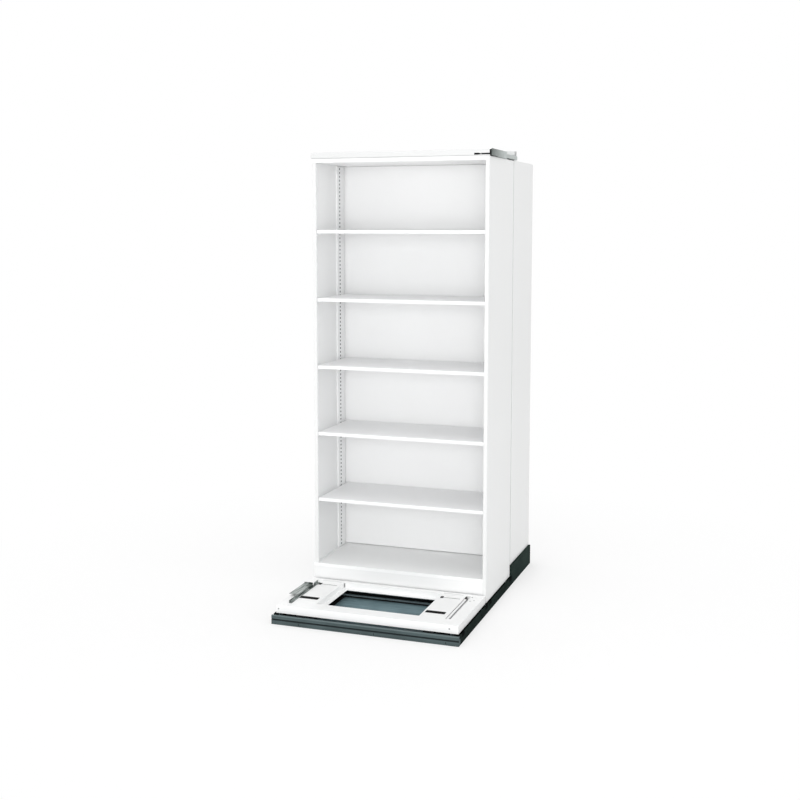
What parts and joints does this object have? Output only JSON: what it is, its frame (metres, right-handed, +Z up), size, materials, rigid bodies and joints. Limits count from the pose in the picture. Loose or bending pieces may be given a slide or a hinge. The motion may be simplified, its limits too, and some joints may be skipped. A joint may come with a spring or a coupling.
{
  "type": "compact mobile shelving",
  "caption": "Compact sliding shelving bay: floor base with rails, a fixed rear cabinet, an open cabinet that rolls sideways and a low rolling carriage in front.",
  "frame": {"origin": "centre of the bounding box's bottom face, on the floor", "axes": "+X to the right seen from the front, along the rails; +Y from the front to the rear; +Z up"},
  "size_m": [0.929, 1.404, 2.2623],
  "materials": {
    "white_paint": "satin white powder coat",
    "shelf_paint": "satin white powder coat",
    "dark_paint": "satin green black paint",
    "bar_paint": "satin dark blue grey paint",
    "deck_paint": "satin blue grey paint",
    "zinc_plate": "zinc plated, dull",
    "bright_steel": "turned or pressed steel",
    "roller_plastic": "moulded"
  },
  "bodies": {
    "base": {"front_bar": "bar_paint", "side_plate_left": "dark_paint", "side_plate_right": "dark_paint", "floor_pan": "deck_paint", "deck_front": "deck_paint", "deck_middle": "deck_paint", "rail_front_1": "deck_paint", "rail_front_2": "deck_paint", "rail_middle_1": "deck_paint", "rail_middle_2": "deck_paint", "plinth": "dark_paint", "rear_side_left": "white_paint", "rear_side_right": "white_paint", "rear_back": "white_paint", "rear_top": "white_paint", "rear_bottom_shelf": "white_paint", "rear_shelf_1": "shelf_paint", "rear_shelf_2": "shelf_paint", "rear_shelf_3": "shelf_paint", "rear_shelf_4": "shelf_paint", "rear_shelf_5": "shelf_paint", "upper_guide_rail": "white_paint"},
    "middle_row": {"middle_side_left": "white_paint", "middle_end_panel": "white_paint", "middle_back": "white_paint", "middle_top": "white_paint", "top_strip": "white_paint", "middle_bottom_shelf": "white_paint", "middle_base_pan": "white_paint", "shelf_1": "shelf_paint", "shelf_2": "shelf_paint", "shelf_3": "shelf_paint", "shelf_4": "shelf_paint", "shelf_5": "shelf_paint", "upright_front_left": "shelf_paint", "upright_front_right": "shelf_paint", "upright_rear_left": "shelf_paint", "upright_rear_right": "shelf_paint", "middle_carriage": "white_paint", "middle_wheel_box_left": "white_paint", "middle_wheel_box_right": "white_paint", "guide_arm": "zinc_plate"},
    "front_row": {"front_carriage": "white_paint", "front_wheel_box_left": "white_paint", "front_wheel_box_right": "white_paint", "joining_bracket": "zinc_plate"},
    "guide_roller_body": {"guide_roller": "roller_plastic"},
    "middle_wheel_set_left": {"middle_shaft_left": "bright_steel", "middle_wheel_left_front": "bright_steel", "middle_wheel_left_rear": "bright_steel"},
    "middle_wheel_set_right": {"middle_shaft_right": "bright_steel", "middle_wheel_right_front": "bright_steel", "middle_wheel_right_rear": "bright_steel"},
    "front_wheel_set_left": {"front_shaft_left": "bright_steel", "front_wheel_left_front": "bright_steel", "front_wheel_left_rear": "bright_steel"},
    "front_wheel_set_right": {"front_shaft_right": "bright_steel", "front_wheel_right_front": "bright_steel", "front_wheel_right_rear": "bright_steel"}
  },
  "joints": [
    {"name": "middle_slide", "type": "slide", "parent": "base", "child": "middle_row", "axis": [1, 0, 0], "range_m": [-0.075, 0.075]},
    {"name": "front_slide", "type": "slide", "parent": "base", "child": "front_row", "axis": [1, 0, 0], "range_m": [-0.075, 0.075]},
    {"name": "middle_wheels_left_roll", "type": "hinge", "parent": "middle_row", "child": "middle_wheel_set_left", "pos_m": [-0.3415, 0.035, 0.0478], "axis": [0, 1, 0], "range_deg": [-170, 170]},
    {"name": "middle_wheels_right_roll", "type": "hinge", "parent": "middle_row", "child": "middle_wheel_set_right", "pos_m": [0.3025, 0.035, 0.0478], "axis": [0, 1, 0], "range_deg": [-170, 170]},
    {"name": "front_wheels_left_roll", "type": "hinge", "parent": "front_row", "child": "front_wheel_set_left", "pos_m": [-0.3415, -0.4295, 0.0478], "axis": [0, 1, 0], "range_deg": [-170, 170]},
    {"name": "front_wheels_right_roll", "type": "hinge", "parent": "front_row", "child": "front_wheel_set_right", "pos_m": [0.3025, -0.4295, 0.0478], "axis": [0, 1, 0], "range_deg": [-170, 170]},
    {"name": "guide_roller_spin", "type": "hinge", "parent": "middle_row", "child": "guide_roller_body", "pos_m": [0.354, 0.3075, 2.2473], "axis": [0, 0, 1], "range_deg": [-220, 220]}
  ],
  "couplings": [
    {"joint": "middle_wheels_left_roll", "follows": "middle_slide", "rad_per_m": 39.216},
    {"joint": "middle_wheels_right_roll", "follows": "middle_slide", "rad_per_m": 39.216},
    {"joint": "front_wheels_left_roll", "follows": "front_slide", "rad_per_m": 39.216},
    {"joint": "front_wheels_right_roll", "follows": "front_slide", "rad_per_m": 39.216},
    {"joint": "guide_roller_spin", "follows": "middle_slide", "rad_per_m": -50.761}
  ]
}
